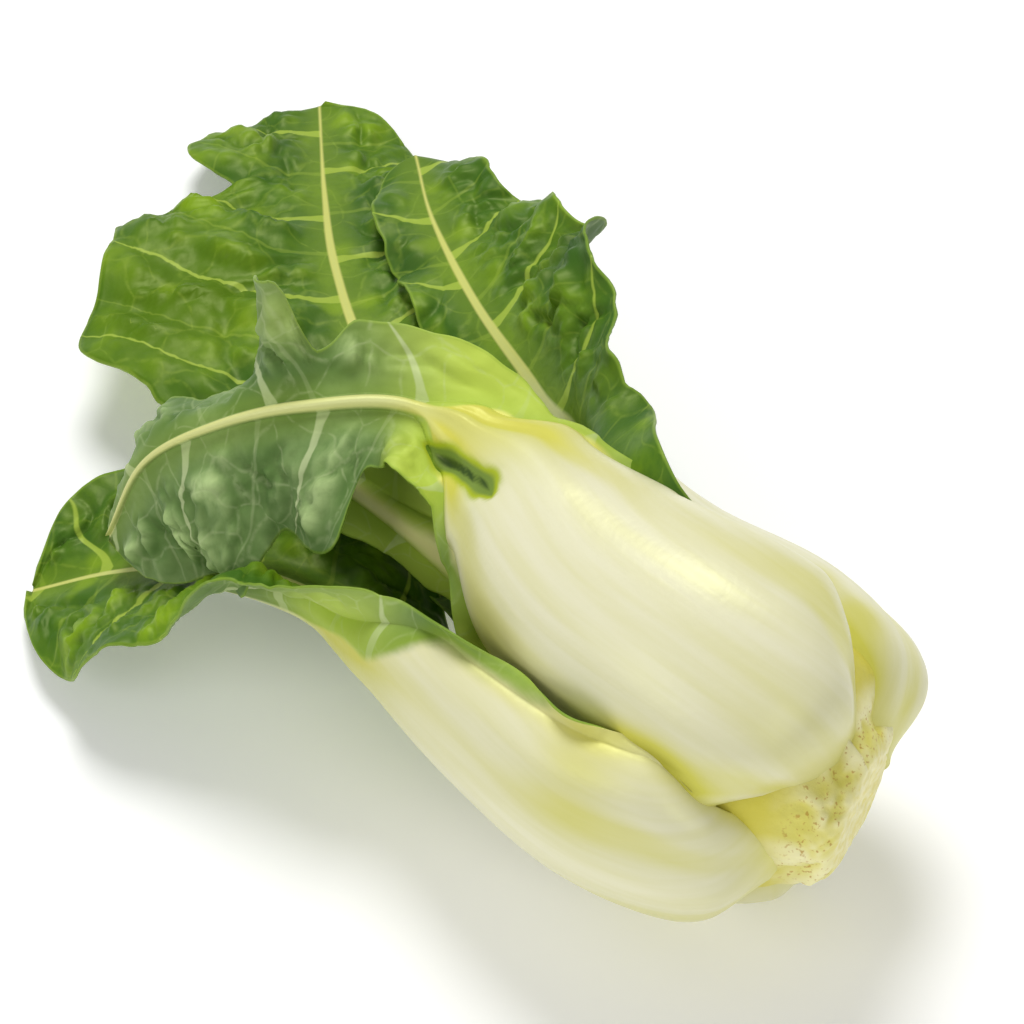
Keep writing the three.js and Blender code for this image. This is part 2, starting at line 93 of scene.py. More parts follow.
OUTER_LEAVES = [
    dict(
        name="leaf_top",
        path=[(62, -9, 31), (57, -13, 40), (44, -15.5, 43.5), (26, -15, 43), (8, -10, 42.5),
              (-7, -10, 42.5), (-18, -18, 40.5), (-27, -24.5, 35), (-34, -30, 27), (-37, -34, 14)],
        face=[(-1, 0.3, -0.5), (-0.5, 0.55, -1), (0, 0.6, -1), (0, 0.55, -1), (-0.1, 0.4, -1),
              (-0.2, 0.4, -1), (-0.3, 0.6, -1), (-0.1, 0.8, -0.8), (0.1, 1, -0.5), (0.3, 1, -0.1)],
        stalk_half=[(0, 6.5), (19, 19.5), (46, 17), (60, 11), (69, 5), (77, 1), (128, 0.4)],
        stalk_thick=[(0, 3.5), (14, 6), (50, 4.5), (74, 1.1), (128, 0.5)],
        wrap=[(0, 10), (16, 21), (50, 18), (80, 30)],
        pale_half=[(0, 30), (46, 17), (58, 12), (67, 6), (75, 0.9), (128, 0.35)],
        flute=0.55, slits=[(3, 65, 1.5, 9, 0.05)],
        tints=[(-11, 68, 13, 1.0), (7, 70, 8, 0.8), (19, 46, 9, 1.0), (-12, 92, 6, 0.3),
               (13, 96, 9, -0.4)],
        blade_start=44, tip_round=12, rib_slant=0.35, pucker=-1.7, seed=11,
        right=dict(width=[(50, 14), (64, 9), (82, 9), (88, 18), (98, 15), (109, 20), (122, 16)],
                   fold=[(50, 0), (66, -40), (84, -20), (92, 0)], curl=[(60, 0), (92, 20)],
                   wave=(1.2, 19, 0.5), start=16, least=[(16, 0.3), (30, 2), (44, 4.5), (64, 2)]),
        left=dict(width=[(50, 14), (60, 10), (84, 10), (88.5, 6), (92, 15.9), (94.5, 16.4), (99, 9),
                         (127, 14)],
                  fold=[(52, -2), (84, 0), (92, -20), (101, 70)], curl=[(60, 0), (92, -10)],
                  wave=(0.8, 21, 1.5), start=38, least=[(38, 0.3), (60, 2)]),
    ),
    dict(
        name="leaf_front",
        path=[(61, -15, 20), (54, -25, 20), (41, -30, 20), (24, -30, 20.5), (6, -27, 19.5),
              (-10, -25, 17), (-24, -28, 13), (-36, -34, 7), (-45, -40, 1)],
        face=[(-1, 0.6, 0.3), (-0.4, 1, 0.4), (0, 1, 0.4), (0, 1, 0.4), (-0.1, 1, 0.5),
              (-0.2, 0.7, 0.8), (-0.2, 0.3, 1), (-0.1, 0.2, 1), (-0.1, 0.1, 1)],
        stalk_half=[(0, 6.5), (19, 18.5), (48, 15), (75, 4), (122, 0.8)],
        stalk_thick=[(0, 3.5), (14, 6), (50, 4.5), (80, 2.2), (122, 0.8)],
        wrap=[(0, 10), (16, 21), (50, 18), (80, 30)],
        pale_half=[(0, 30), (48, 15), (62, 6), (76, 1.6), (122, 0.5)],
        flute=0.3, slits=[],
        tints=[(0, 66, 16, 0.8), (-15, 26, 8, 0.6), (12, 108, 10, -0.5)],
        blade_start=46, tip_round=18, rib_slant=0.45, pucker=1.5, seed=23,
        right=dict(width=[(44, 13), (60, 16), (80, 18), (100, 20)], fold=[(50, 5), (80, 15), (120, 10)],
                   curl=[(60, 0), (90, 20)], wave=(1.6, 19, 0.5), start=46, least=[(46, 0.4), (66, 2)]),
        left=dict(width=[(50, 12), (80, 17), (100, 19)], fold=[(50, 0), (80, -5)],
                  curl=[(60, 0), (90, -15)], wave=(1.6, 20, 1.5), start=12,
                  least=[(12, 0.3), (28, 1.8), (50, 2.2), (66, 4)]),
    ),
    dict(
        name="leaf_back",
        path=[(61, -1, 26), (55, 6, 29.5), (43, 8, 30.5), (26, 5.5, 30), (8, 7, 28.5), (-10, 14, 25),
              (-27, 21.5, 20), (-44, 31, 15), (-56, 40, 11)],
        face=[(-1, -0.6, -0.4), (-0.4, -1, -0.7), (0, -1, -0.7), (0, -1, -0.5), (0, -1, 0.1),
              (-0.1, -0.6, 0.9), (-0.1, -0.3, 1), (0, -0.2, 1), (0, -0.1, 1)],
        stalk_half=[(0, 6.5), (18, 17), (45, 12), (64, 4), (80, 1.1), (125, 0.4)],
        stalk_thick=[(0, 3.5), (14, 5.5), (50, 4.5), (80, 2.2), (125, 0.8)],
        wrap=[(0, 10), (16, 20), (50, 18), (80, 30)],
        pale_half=[(0, 30), (45, 12), (60, 5), (74, 1.1), (100, 0.8), (125, 0.3)],
        flute=0.3, slits=[],
        tints=[(15, 90, 8, -0.7), (-6, 112, 10, -0.5), (10, 62, 9, -0.5), (18, 34, 12, -0.6),
               (7, 7, 4, 1.0), (6.6, 14, 3.6, 1.0), (6.2, 21, 3, 0.8)],
        blade_start=46, tip_round=14, rib_slant=0.5, pucker=1.7, seed=37,
        right=dict(width=[(50, 12), (70, 14), (88, 20), (104, 16), (120, 10)],
                   fold=[(16, -128), (48, -128), (74, 0), (90, 10), (120, 5)],
                   curl=[(60, 0), (80, 22), (105, 0)], wave=(2.4, 20, 0.5), start=16,
                   least=[(16, 0.4), (26, 8.5), (50, 11), (74, 2)]),
        left=dict(width=[(40, 14), (62, 14), (85, 9), (105, 7)],
                  fold=[(30, -10), (60, -5), (90, 0)],
                  curl=[(60, 0), (90, 5)], wave=(1.5, 17, 1.5), start=46, least=[(46, 0.4), (66, 2)]),
    ),
    dict(
        name="leaf_bottom",
        path=[(60, -6, 17), (54, -4, 8.5), (42, -3, 5.5), (24, -2, 6.5), (4, 0, 9), (-16, 4, 12),
              (-34, 9, 14), (-50, 19, 11), (-63, 30, 6.5), (-78, 44, 0.8)],
        face=[(-1, -0.2, 0.4), (-0.4, -0.4, 1), (0, -0.4, 1), (0, -0.35, 1), (0, -0.2, 1), (0, -0.15, 1),
              (0, -0.1, 1), (0.1, -0.1, 1), (0.1, -0.1, 1), (0.1, -0.1, 1)],
        stalk_half=[(0, 6.5), (18, 16), (50, 12), (78, 4), (94, 1.1), (152, 0.4)],
        stalk_thick=[(0, 3.5), (14, 5.5), (50, 4), (80, 2.4), (152, 0.8)],
        wrap=[(0, 10), (16, 22), (50, 20), (80, 30)],
        pale_half=[(0, 30), (50, 12), (72, 5), (90, 1.2), (120, 0.85), (152, 0.3)],
        flute=0.3, slits=[],
        tints=[(-20, 116, 14, 1.0), (-6, 148, 10, -0.5), (12, 130, 12, -0.5), (-8, 103, 8, -0.9)],
        blade_start=60, tip_round=10, rib_slant=0.18, pucker=1.4, seed=41,
        right=dict(width=[(60, 12), (90, 14), (120, 16), (144, 14), (156, 11)],
                   fold=[(50, 0), (120, 0)], curl=[(60, 0), (90, -15)],
                   wave=(1.2, 22, 0.5), start=60, least=[(60, 0.4), (80, 2)]),
        left=dict(width=[(70, 13), (94, 14), (104, 28), (114, 34), (131, 27), (137, 21), (141, 12),
                         (147, 17), (156, 14)],
                  fold=[(50, 0), (90, 8)], curl=[(90, 0), (110, -20)],
                  wave=(1.4, 21, 1.5), start=60, least=[(60, 0.4), (80, 2)]),
    ),
]
print("outer leaves:", ", ".join(leaf["name"] for leaf in OUTER_LEAVES))

# %% [markdown]
# The younger leaves stand inside the outer ones, in the gaps between the stalks. They are alike, so
# one function describes them all. Each is placed by its angle around the head's own axis, measured
# from straight up.

# %% Describe the inner leaves
INNER_ROOT_X = 54


def inner_leaf(name, angle, radius, length, spread, seed):
    """The description of a young leaf, in the same terms as an outer one."""
    turn = math.radians(angle)
    tip = INNER_ROOT_X - length
    start = length * 0.4

    def place(x, out):
        return (x, AXIS_Y + out * math.sin(turn), AXIS_Z + out * math.cos(turn))

    def inward(along):
        return (along, -math.sin(turn), -math.cos(turn))

    def side(phase):
        return dict(width=[(34, radius * 0.7), (60, radius * 0.85)], fold=[(40, 0), (80, 10)],
                    curl=[(40, 10), (80, 5)], wave=(0.4, 18, phase), start=start,
                    least=[(start, 0.4), (start + 20, 2)])

    return dict(
        name=name,
        path=[place(INNER_ROOT_X, radius * 0.5 + 1), place(INNER_ROOT_X - 6, radius * 0.9),
              place(40, radius), place(20, radius), place(tip + length * 0.3, radius + spread * 0.3),
              place(tip, radius + spread)],
        face=[inward(along) for along in (-0.5, -0.2, 0, 0, 0, 0)],
        stalk_half=[(0, radius * 0.35), (12, radius * 0.66), (34, radius * 0.6),
                    (length * 0.75, 1.6), (length, 0.8)],
        stalk_thick=[(0, 1.2), (12, radius * 0.3), (length * 0.6, radius * 0.2), (length, 0.5)],
        wrap=[(0, radius * 0.6), (14, radius + 0.5)],
        pale_half=[(0, radius * 2), (12, radius * 0.66), (length * 0.7, 1), (length, 0.4)],
        flute=0.1, slits=[], tints=[(0, length * 0.6, length * 0.4, 0.6)],
        blade_start=start, tip_round=14, rib_slant=0.6, pucker=0.25, seed=seed,
        right=side(0.3), left=side(1.1),
    )


INNER_LEAVES = [
    inner_leaf("leaf_inner_front", -62, 8.6, 84, 4, 53),
    inner_leaf("leaf_inner_top", 24, 8.4, 78, 3, 59),
    inner_leaf("leaf_inner_back", 112, 7.6, 80, 1, 61),
    inner_leaf("leaf_inner_bottom", -155, 7.6, 86, 1, 67),
]
HEART_LEAVES = [
    inner_leaf("heart_leaf_upper", -20, 3.6, 60, 0.5, 71),
    inner_leaf("heart_leaf_lower", 160, 3.6, 64, 0.5, 73),
]
print("younger leaves:", len(INNER_LEAVES) + len(HEART_LEAVES))

# %% [markdown]
# ## Smooth values and seeded noise
#
# Growth is smooth but never even. Small helpers give smooth values between stops, a curve through
# points, smooth random values, and a random net of cells. Every random draw has its own seed, so
# the head is the same each time.

# %% Smooth values and noise
def unit(v):
    """The same directions, each with a length of one."""
    return v / np.maximum(np.linalg.norm(v, axis=-1, keepdims=True), 1e-9)


def smooth(low, high, x):
    """0 below low, 1 above high, and a smooth step between them."""
    u = np.clip((x - low) / (high - low), 0, 1)
    return u * u * (3 - 2 * u)


def ease(stops, s):
    """Smooth steps from one (place, value) stop to the next."""
    value = np.full(np.shape(s), float(stops[0][1]))
    for (s0, v0), (s1, v1) in zip(stops, stops[1:]):
        value = value + (v1 - v0) * smooth(s0, s1, s)
    return value


def curve_through(points, u):
    """A smooth curve through all the points, for u from 0 to 1."""
    p = np.asarray(points, float)
    spans = len(p) - 1
    p = np.vstack([2 * p[0] - p[1], p, 2 * p[-1] - p[-2]])
    x = np.clip(np.asarray(u, float), 0, 1) * spans
    i = np.minimum(x.astype(int), spans - 1)
    f = (x - i)[:, None]
    a, b, c, d = p[i], p[i + 1], p[i + 2], p[i + 3]
    square, cube = 2 * a - 5 * b + 4 * c - d, 3 * b - a - 3 * c + d
    return 0.5 * (2 * b + (c - a) * f + square * f**2 + cube * f**3)


NOISE_SIZE = 64


def noise(x, y, seed):
    """Smooth random values between -1 and 1 that change over about one unit."""
    table = np.random.default_rng(seed).uniform(-1, 1, (NOISE_SIZE, NOISE_SIZE))
    i, j = np.floor(x).astype(int), np.floor(y).astype(int)
    f, g = smooth(0, 1, x - i), smooth(0, 1, y - j)

    def at(di, dj):
        return table[(i + di) % NOISE_SIZE, (j + dj) % NOISE_SIZE]

    low = at(0, 0) * (1 - f) + at(1, 0) * f
    high = at(0, 1) * (1 - f) + at(1, 1) * f
    return low * (1 - g) + high * g


def cell_edges(x, y, seed):
    """How far each point is from the border of its cell, in a random net of cells one unit wide."""
    jitter = np.random.default_rng(seed).uniform(0.1, 0.9, (NOISE_SIZE, NOISE_SIZE, 2))
    i, j = np.floor(x).astype(int), np.floor(y).astype(int)
    gaps = []
    for di in (-1, 0, 1):
        for dj in (-1, 0, 1):
            spot = jitter[(i + di) % NOISE_SIZE, (j + dj) % NOISE_SIZE]
            gaps.append(np.hypot(i + di + spot[..., 0] - x, j + dj + spot[..., 1] - y))
    gaps = np.sort(np.array(gaps), axis=0)
    return gaps[1] - gaps[0]


print("noise at one point:", round(float(noise(np.array([0.5]), np.array([0.5]), 1)[0]), 3))

# %% [markdown]
# ## The shape of a leaf
#
# A leaf could be a flat plane bent by modifiers. It is easier to control as cross-sections along
# its midline: the stalk wraps around the head, the blade folds away from the midrib and curls
# towards its margin. Lines that run along the leaf keep to the border between stalk and blade, so
# that border stays sharp.

# %% Cross-sections of a leaf
BLADE_THICKNESS = 0.55
MARGIN_THICKNESS = 0.3
FOLD_REACH = 3
TIP_CUT = 0.999
LINE_POINTS = 1200
GROWING_LENGTH = 20  # how far along the leaf the blade takes to grow its scallops
SCALLOPS = [(0.8, 6), (0.28, 2.1)]  # height and length
RUFFLE, RUFFLE_LENGTH = 0.35, 3.2
DENSER_TIP = 0.1


class Leaf:
    """A leaf's description, and the grid of points that it stands for."""

    def __init__(self, spec, rows, stalk_columns, wing_columns):
        self.__dict__.update(spec)
        self.rows, self.stalk_columns, self.wing_columns = rows, stalk_columns, wing_columns
        self.line_u = np.linspace(0, 1, LINE_POINTS)
        steps = np.diff(curve_through(self.path, self.line_u), axis=0)
        self.line_s = np.concatenate([[0], np.cumsum(np.linalg.norm(steps, axis=1))])
        self.length = self.line_s[-1]

    def tip(self, s):
        """The blade and the midrib shrink together in a round tip."""
        x = np.clip((s - (self.length - self.tip_round)) / self.tip_round, 0, TIP_CUT)
        return np.sqrt(1 - x * x)

    def midline(self, s):
        """Place, direction to the right and upward direction of the midline, s along the leaf."""
        u = np.interp(s, self.line_s, self.line_u)
        step = 1e-3
        along = unit(curve_through(self.path, u + step) - curve_through(self.path, u - step))
        up = curve_through(self.face, u)
        up = unit(up - (up * along).sum(-1, keepdims=True) * along)
        return curve_through(self.path, u), np.cross(along, up), up

    def margin(self, s, side, sign):
        """The blade's half width: its smooth outline, with small uneven scallops."""
        width = ease(side["width"], s) * self.tip(s)
        grown = smooth(self.blade_start, self.blade_start + GROWING_LENGTH, s)
        scallop = 0
        for number, (height, length) in enumerate(SCALLOPS):
            scallop = scallop + height * noise(s / length, 0 * s + sign, self.seed + number)
        least = ease(self.stalk_half, s) + ease(side["least"], s)
        return np.maximum(width + scallop * grown * self.tip(s), least * self.tip(s))

    def half(self, s, side, sign):
        """One side of the leaf as a grid of points: rows along the leaf and columns outwards."""
        point, right, up = (v[:, None] for v in self.midline(s))
        s = s[:, None]
        stalk = ease(self.stalk_half, s) * self.tip(s)
        wing = self.margin(s, side, sign)
        stalk_share = np.sin(np.linspace(0, np.pi / 2, self.stalk_columns + 1))
        wing_share = np.linspace(0, 1, self.wing_columns + 1)[1:]
        d = np.concatenate([stalk * stalk_share, stalk + (wing - stalk) * wing_share], axis=1)
        out = np.clip((d - stalk) / (wing - stalk), 0, 1)
        fold, curl = np.radians(ease(side["fold"], s)), np.radians(ease(side["curl"], s))
        turn = np.minimum(d, stalk) / ease(self.wrap, s)
        turn = turn + fold * np.clip((d - stalk) / FOLD_REACH, 0, 1) + curl * out**1.3
        step = np.diff(d, axis=1)
        middle = (turn[:, 1:] + turn[:, :-1]) / 2
        start = np.zeros((len(s), 1))
        across = np.concatenate([start, np.cumsum(step * np.cos(middle), axis=1)], axis=1)
        rise = np.concatenate([start, np.cumsum(step * np.sin(middle), axis=1)], axis=1)
        height, length, phase = side["wave"]
        ruffle = RUFFLE * noise(s / RUFFLE_LENGTH + 0 * d, out * 2 + 7 * sign, self.seed + 2) * out**3
        wave = height * np.sin(2 * np.pi * s / length + phase)
        wave = (wave + ruffle * smooth(4, 12, wing - stalk)) * out**2
        normal = up * np.cos(turn)[..., None] - sign * right * np.sin(turn)[..., None]
        place = point + sign * right * across[..., None] + up * rise[..., None]
        whole = dict(stalk=stalk + 0 * d, wing=wing + 0 * d, start=side["start"] + 0 * d)
        return dict(place=place + normal * wave[..., None], normal=normal, d=d, out=out, **whole)

    def grid(self):
        """Both sides as one grid, from the left margin to the right margin."""
        x = np.linspace(0, 1, self.rows + 1)
        s = self.length * (x + DENSER_TIP * np.sin(np.pi * x) * x)
        left, right = self.half(s, self.left, -1), self.half(s, self.right, 1)
        whole = {key: np.concatenate([left[key][:, :0:-1], right[key]], axis=1) for key in left}
        columns = self.stalk_columns + self.wing_columns
        whole["sign"] = np.sign(np.arange(-columns, columns + 1))[None] + 0.0 * whole["d"]
        whole["s"] = s[:, None] + 0.0 * whole["d"]
        return whole


print("blade thickness:", BLADE_THICKNESS, "mm")

# %% [markdown]
# ## Veins and blisters
#
# On a real blade the side veins leave the midrib on both sides, a strong one and a weak one in
# turn, and the tissue between them swells up into blisters. Painted veins would look flat at the
# silhouette, so the relief is in the mesh. Two values are kept for the material: how far a point
# is from its nearest side vein, with a sign so that it stays exact between mesh points, and how
# strong that vein is.
#
# A blade that grew against its neighbours is also uneven all over: its blisters lie in a net of
# cells, smaller ones lie between them, and soft creases run across.

# %% Side veins and swelling
VEIN_SPACING = 9.5
VEIN_BEND = 1.8
VEIN_ARC = 0.014
WEAK_VEIN = 0.28
FIRST_VEIN = 4  # how far before the start of the blade the first vein leaves the midrib
PILLOW, BLISTER, SMALL_BLISTER, CRUMPLE, CREASE = 0.4, 0.85, 0.3, 0.8, 0.7


def side_veins(leaf, g):
    """Signed distance in millimetres to the nearest side vein, and how strong that vein is there."""
    draw = np.random.default_rng(leaf.seed)
    distance, strength = np.zeros_like(g["d"]), np.zeros_like(g["d"])
    beyond = np.maximum(g["d"] - g["stalk"], 0)
    bend = VEIN_BEND * noise(g["d"] / 7, g["s"] / 16, leaf.seed + 5) * smooth(0, 8, beyond)
    start = g["s"] - leaf.rib_slant * beyond - VEIN_ARC * beyond**2 + bend
    count = int((leaf.length - leaf.blade_start) / VEIN_SPACING) + 3
    for sign in (-1, 1):
        shares = np.arange(count) + draw.uniform(-0.25, 0.25, count)
        roots = leaf.blade_start - FIRST_VEIN + VEIN_SPACING * shares
        power = np.where((np.arange(count) + (sign > 0)) % 2 == 0, 1, WEAK_VEIN)
        gaps = start[..., None] - roots
        pick = np.abs(gaps).argmin(-1)
        nearest = np.take_along_axis(gaps, pick[..., None], -1)[..., 0]
        order = np.sort(np.abs(gaps), axis=-1)
        fade = 1 - smooth(0.2, 0.38, order[..., 0] / VEIN_SPACING)
        fade = fade * smooth(0.4, 2.0, order[..., 1] - order[..., 0])
        mine = g["sign"] * sign > 0
        distance = np.where(mine, nearest / math.hypot(1, leaf.rib_slant), distance)
        strength = np.where(mine, fade * power[pick], strength)
    return distance, strength


def sheet_normals(g):
    """Directions square to the blade, which twists more than its cross-sections show."""
    along, side = np.gradient(g["place"], axis=0), np.gradient(g["place"], axis=1)
    square = unit(np.cross(side, along))
    share = smooth(0, 2, g["d"] - g["stalk"])[..., None]
    return unit(g["normal"] * (1 - share) + square * share)


def relief(leaf, g, vein, near):
    """How far the tissue swells towards the upper side, and how high each vein stands."""
    beyond = g["d"] - g["stalk"]
    across = g["d"] * g["sign"]
    free = smooth(0.5, 6, beyond) * smooth(leaf.blade_start + 4, leaf.blade_start + 20, g["s"])
    free = free * (0.3 + 0.7 * smooth(0, 6, g["wing"] - g["d"]))
    pillow = smooth(0, 5, np.abs(vein))
    warp = 0.5 * noise(g["s"] / 5, across / 5, leaf.seed + 17)
    blister = smooth(0.0, 0.6, cell_edges(g["s"] / 6 + warp, across / 7 - warp, leaf.seed + 9))
    small = smooth(0.0, 0.7, cell_edges(g["s"] / 2.6 + warp, across / 3 + warp, leaf.seed + 10))
    crumple = noise(g["s"] / 9, across / 9, leaf.seed + 13)
    crease = 1 - np.abs(noise(g["s"] / 7 + warp, across / 11, leaf.seed + 15)) * 2.2
    swell = PILLOW * pillow + BLISTER * blister * pillow + SMALL_BLISTER * small
    swell = swell + CRUMPLE * crumple * smooth(2, 12, beyond)
    swell = free * (swell - CREASE * np.clip(crease, 0, 1) ** 3)
    width = 0.25 + 0.4 * (1 - g["out"])
    rib = near * np.exp(-((vein / (1.5 * width)) ** 2))
    rib = rib * smooth(leaf.blade_start, leaf.blade_start + 12, g["s"]) * smooth(0, 1.5, beyond)
    return leaf.pucker * swell, rib * (1 - 0.6 * g["out"])


print("side veins every", VEIN_SPACING, "mm")

# %% [markdown]
# ## One closed mesh for a leaf
#
# The upper and the lower side are two grids with the same points across. The lower side hangs below
# the upper one by the thickness of the stalk or of the blade, and the two are joined along the
# margins. Below the place where the blade starts, only the stalk's columns are kept.

# %% Closed meshes
def closed_sheet(upper, lower, keep):
    """Points and faces of a closed mesh between two grids. keep says which cells exist."""
    rows, columns = upper.shape[:2]
    index = np.arange(rows * columns).reshape(rows, columns)
    under = index + rows * columns
    i, j = np.nonzero(keep)
    faces = [np.stack([index[i, j], index[i, j + 1], index[i + 1, j + 1], index[i + 1, j]], 1),
             np.stack([under[i, j], under[i + 1, j], under[i + 1, j + 1], under[i, j + 1]], 1)]
    padded = np.pad(keep, 1)
    edges = {(-1, 0): ((0, 0), (0, 1)), (1, 0): ((1, 1), (1, 0)),
             (0, -1): ((1, 0), (0, 0)), (0, 1): ((0, 1), (1, 1))}
    for (di, dj), ((ai, aj), (bi, bj)) in edges.items():
        open_edge = ~padded[i + 1 + di, j + 1 + dj]
        a = i[open_edge] + ai, j[open_edge] + aj
        b = i[open_edge] + bi, j[open_edge] + bj
        faces.append(np.stack([index[a], under[a], under[b], index[b]], 1))
    faces = np.concatenate(faces)
    points = np.concatenate([upper.reshape(-1, 3), lower.reshape(-1, 3)])
    used, faces = np.unique(faces, return_inverse=True)
    return points[used], faces.reshape(-1, 4), used


def mesh_object(name, points, faces, values):
    """A smooth-shaded object in metres, with one value per point for each named attribute."""
    mesh = bpy.data.meshes.new(name)
    mesh.from_pydata((points + SHIFT) * MM, [], faces)
    for key, value in values.items():
        kind, field = ("FLOAT_VECTOR", "vector") if value.ndim == 2 else ("FLOAT", "value")
        attribute = mesh.attributes.new(key, kind, "POINT")
        attribute.data.foreach_set(field, value.astype(np.float32).ravel())
    mesh.shade_smooth()
    mesh.update()
    piece = bpy.data.objects.new(name, mesh)
    bpy.context.scene.collection.objects.link(piece)
    return piece


flat = np.zeros((3, 3, 3))
print("faces around two by two cells:", len(closed_sheet(flat, flat, np.ones((2, 2), bool))[1]))

# %% [markdown]
# ## Seams and slits
#
# Where one stalk's edge lies on another stalk there is a seam, and the tissue beside it is painted
# a darker yellow and olive, a painted shade of the gap.
# Each point of a leaf keeps its distance from the nearest such edge. The top leaf's stalk also has
# a fold, a slit that is pressed into its underside and is green inside, with painted shade along its
# deepest middle.

# %% Measure seams and slits
SEAM_REACH = 8
SEAM_POINTS = 160
SEAM_LENGTH = 60  # no seam is further than this from the root


def stalk_edges(leaf):
    """Points along both edges of a leaf's stalk, as far as the stalk is broad."""
    s = np.linspace(2, leaf.blade_start + 6, SEAM_POINTS)
    sides = [leaf.half(s, leaf.left, -1), leaf.half(s, leaf.right, 1)]
    return np.concatenate([side["place"][:, leaf.stalk_columns] for side in sides])


def seam_distance(leaf, points):
    """How far each point is from the nearest stalk edge of another outer leaf, up to a limit."""
    edges = np.concatenate([stalk_edges(other) for other in outer if other.name != leaf.name])
    tree = KDTree(len(edges))
    for number, edge in enumerate(edges):
        tree.insert(edge, number)
    tree.balance()
    near = np.flatnonzero(points[:, 0] > points[:, 0].max() - SEAM_LENGTH)
    distance = np.full(len(points), float(SEAM_REACH))
    distance[near] = [min(tree.find(points[k])[2], SEAM_REACH) for k in near]
    return distance


def slit_depth(leaf, g):
    """1 along the middle of each fold in the stalk, and 0 away from it."""
    across = g["d"] * g["sign"]
    depth = 0 * across
    for x, y, half_width, half_length, lean in leaf.slits:
        ahead = np.clip((g["s"] - y) / half_length, -1, 1)
        middle = x + lean * (g["s"] - y) + 0.6 * noise(g["s"] / 5, 0 * across, leaf.seed + 21)
        ragged = 1 + 0.3 * noise(g["s"] / 3, 0 * across, leaf.seed + 22)
        width = half_width * (1 - ahead**2) ** 0.7 * ragged
        depth = np.maximum(depth, (1 - ahead**4) * np.exp(-(((across - middle) / (width + 0.1)) ** 2)))
    return depth


print("seams are felt up to", SEAM_REACH, "mm away")

# %% [markdown]
# ## Build the leaves
#
# A stalk is thickest along its middle, has soft flutes along it and ends in a rounded edge. Where
# the blade has started, the leaf's upper side is the blade's, and the edge of the stalk runs on
# into the blade.

# %% Build the leaves
STALK_LIP = 0.6
STALK_SET_BACK = 0.3
EDGE_FROM, EDGE_WIDTH = 0.9, 0.101  # where a bare stalk's edge starts to round off, as a share
LOW_FLUTE, FINE_RIDGE = 0.8, 0.04
SLIT_DEPTH = 1.4
VEIN_SUNK, VEIN_RAISED = 0.15, 0.4  # on the upper side and on the lower side
LOWEST = 0.02


def stalk_body(leaf, g, side):
    """How thick the stalk is below its lip, and how deep its flutes are."""
    s = g["s"]
    root = 0.25 + 0.75 * smooth(0, 11, s)
    thick = ease(leaf.stalk_thick, s) * root * (1 - side**2.2) ** 0.8
    band = side * g["sign"]
    depth = (0.1 + leaf.flute * smooth(24, 60, s)) * smooth(1, 5, g["stalk"]) * smooth(6, 20, s)
    depth = depth + LOW_FLUTE * smooth(2, 9, s) * (1 - smooth(14, 44, s))
    flutes = 0.5 * np.sin(9 * band + leaf.seed) + noise(4 * band + 3, s / 40, leaf.seed)
    ridges = FINE_RIDGE * noise(16 * band, s / 30, leaf.seed + 1)
    hollow = np.clip(-flutes, 0, 1) * depth * (1 - side**4)
    return thick + (depth * (flutes - 0.5) + ridges) * (1 - side**4), hollow


def sheet_heights(leaf, g, side, thick):
    """How high the upper and the lower side lie over the leaf's grid of points."""
    bladed = smooth(leaf.blade_start - 6, leaf.blade_start + 6, g["s"])
    winged = smooth(g["start"] - 2, g["start"] + 8, g["s"])
    on_stalk = np.where(g["out"] > 0, 0, 1)
    lip = (STALK_SET_BACK + STALK_LIP) * (0.15 + 0.85 * smooth(1, 5, g["stalk"]))
    lip = lip * (on_stalk * (1 - winged * side**6))
    sheet = MARGIN_THICKNESS + (BLADE_THICKNESS - MARGIN_THICKNESS) * (1 - g["out"]) ** 0.5
    shift = bladed + (winged - bladed) * side**4
    top = -STALK_SET_BACK * (1 - shift) + sheet * shift
    bottom = -(lip + thick * on_stalk)
    edge = np.sqrt(np.clip(1 - (np.clip(side - EDGE_FROM, 0, 1) / EDGE_WIDTH) ** 2, 0, 1))
    edge = 1 - (1 - edge) * (1 - winged)
    core = (top + bottom) / 2
    return core + (top - core) * edge, core + (bottom - core) * edge


def kept_cells(leaf, g):
    """The cells of the grid that exist: below the start of a wing, only the stalk does."""
    keep = np.ones((leaf.rows, 2 * (leaf.stalk_columns + leaf.wing_columns)), bool)
    column = np.arange(keep.shape[1]) + 0.5 - keep.shape[1] / 2
    bare = g["s"][:-1, :-1] < np.where(column < 0, leaf.left["start"], leaf.right["start"])
    return keep & ~(bare & (np.abs(column) > leaf.stalk_columns))


